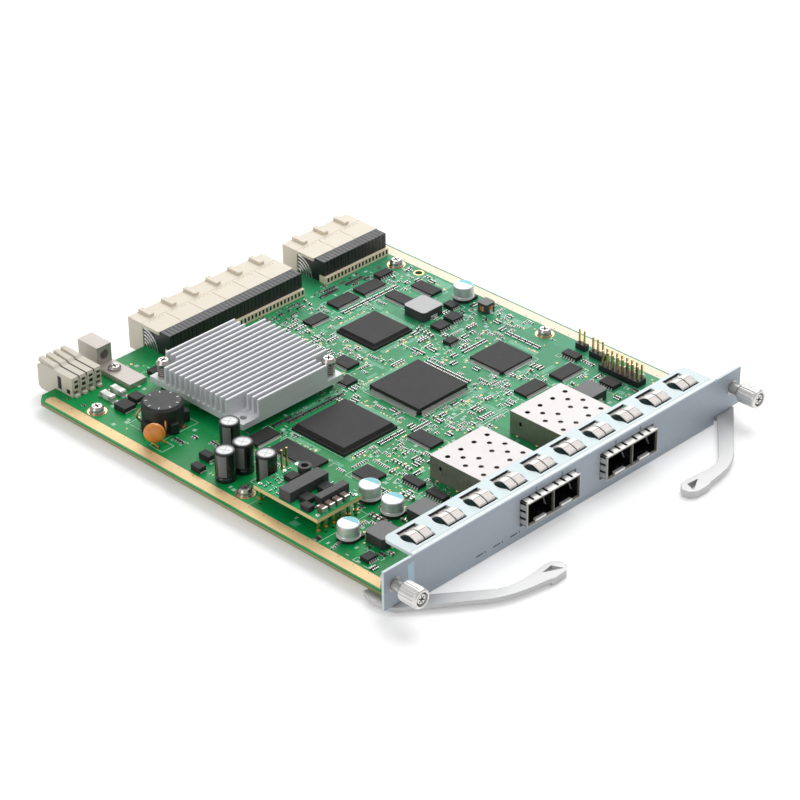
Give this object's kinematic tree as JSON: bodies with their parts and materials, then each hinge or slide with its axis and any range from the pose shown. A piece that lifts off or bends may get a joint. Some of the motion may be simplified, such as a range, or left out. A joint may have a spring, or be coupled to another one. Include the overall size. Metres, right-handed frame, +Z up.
{
  "type": "sdh cross-connect card",
  "caption": "Chassis line card with ganged transceiver cages, a populated circuit board, backplane connectors, a heat sink, ejector levers and captive thumbscrews.",
  "frame": {"origin": "middle of the whole card's box in X and Y, on the surface that the card lies on", "axes": "+X along the front panel from its left ear to its right ear, +Y from the front panel back to the backplane connectors, +Z up from the board's underside to its parts"},
  "size_m": [0.194, 0.2354, 0.0211],
  "materials": {
    "board_green": "satin solder mask",
    "panel_paint": "satin",
    "nickel": "satin",
    "cage_nickel": "satin",
    "screw_steel": "satin",
    "black_plastic": "matte",
    "beige_plastic": "matte",
    "wafer_plastic": "satin",
    "tin": "satin",
    "power_plastic": "matte",
    "gold": "satin",
    "chip_plastic": "matte",
    "pad_grey": "matte",
    "sink_aluminium": "satin",
    "spring_steel": "satin",
    "copper": "satin",
    "orange_coat": "gloss",
    "sleeve_black": "gloss",
    "can_aluminium": "satin",
    "fuse_white": "matte",
    "converter_green": "satin solder mask",
    "core_ferrite": "matte",
    "ceramic_brown": "matte",
    "inductor_grey": "matte",
    "ferrule_steel": "satin",
    "lever_steel": "satin",
    "thumb_steel": "satin"
  },
  "bodies": {
    "card": {"main_board": "board_green", "front_panel": "panel_paint", "panel_brackets": "nickel", "bracket_screws": "screw_steel", "gasket_clips": "nickel", "sfp_cage_left": "cage_nickel", "sfp_cage_right": "cage_nickel", "sfp_connectors": "black_plastic", "cage_gaskets": "nickel", "wide_connector_housing": "beige_plastic", "wide_connector_wafers": "wafer_plastic", "narrow_connector_housing": "beige_plastic", "narrow_connector_wafers": "wafer_plastic", "connector_combs": "beige_plastic", "connector_leads": "tin", "power_connector_housing": "power_plastic", "power_contacts": "gold", "guide_socket": "nickel", "guide_socket_screw": "screw_steel", "cooled_chip": "chip_plastic", "thermal_pad": "pad_grey", "heat_sink": "sink_aluminium", "heat_sink_screws": "screw_steel", "heat_sink_springs": "spring_steel", "heat_sink_anchors": "screw_steel", "choke_case": "black_plastic", "choke_leads": "copper", "disc_varistor": "orange_coat", "electrolytic_sleeves": "sleeve_black", "electrolytic_tops": "can_aluminium", "fuses": "fuse_white", "power_diodes": "chip_plastic", "can_capacitor_bases": "black_plastic", "can_capacitors": "can_aluminium", "converter_board": "converter_green", "converter_pins": "gold", "converter_cores": "core_ferrite", "converter_chips": "chip_plastic", "converter_capacitors": "ceramic_brown", "array_chips": "chip_plastic", "flat_chips": "chip_plastic", "memory_chips": "chip_plastic", "small_chips": "chip_plastic", "chip_leads": "tin", "power_inductors": "inductor_grey", "pin_header_blocks": "black_plastic", "pin_header_pins": "gold", "board_screws": "screw_steel", "screw_washers": "screw_steel", "board_nuts": "screw_steel", "lever_pivots": "screw_steel", "screw_ferrules": "ferrule_steel"},
    "left_lever": {"left_lever": "lever_steel"},
    "right_lever": {"right_lever": "lever_steel"},
    "left_screw_carrier": {"left_screw_ring": "spring_steel"},
    "left_screw": {"left_thumbscrew": "thumb_steel"},
    "right_screw_carrier": {"right_screw_ring": "spring_steel"},
    "right_screw": {"right_thumbscrew": "thumb_steel"}
  },
  "joints": [
    {"name": "left_lever_swing", "type": "hinge", "parent": "card", "child": "left_lever", "pos_m": [-0.0883, -0.08215, 0.002], "axis": [0, 0, -1], "range_deg": [-1, 55]},
    {"name": "right_lever_swing", "type": "hinge", "parent": "card", "child": "right_lever", "pos_m": [0.0883, -0.08215, 0.002], "axis": [0, 0, 1], "range_deg": [-3, 55]},
    {"name": "left_screw_push", "type": "slide", "parent": "card", "child": "left_screw_carrier", "axis": [0, 1, 0], "range_m": [0, 0.0042]},
    {"name": "left_screw_turn", "type": "hinge", "parent": "left_screw_carrier", "child": "left_screw", "pos_m": [-0.092, -0.08865, 0.0123], "axis": [0, 1, 0], "continuous": true},
    {"name": "right_screw_push", "type": "slide", "parent": "card", "child": "right_screw_carrier", "axis": [0, 1, 0], "range_m": [0, 0.0042]},
    {"name": "right_screw_turn", "type": "hinge", "parent": "right_screw_carrier", "child": "right_screw", "pos_m": [0.092, -0.08865, 0.0123], "axis": [0, 1, 0], "continuous": true}
  ]
}
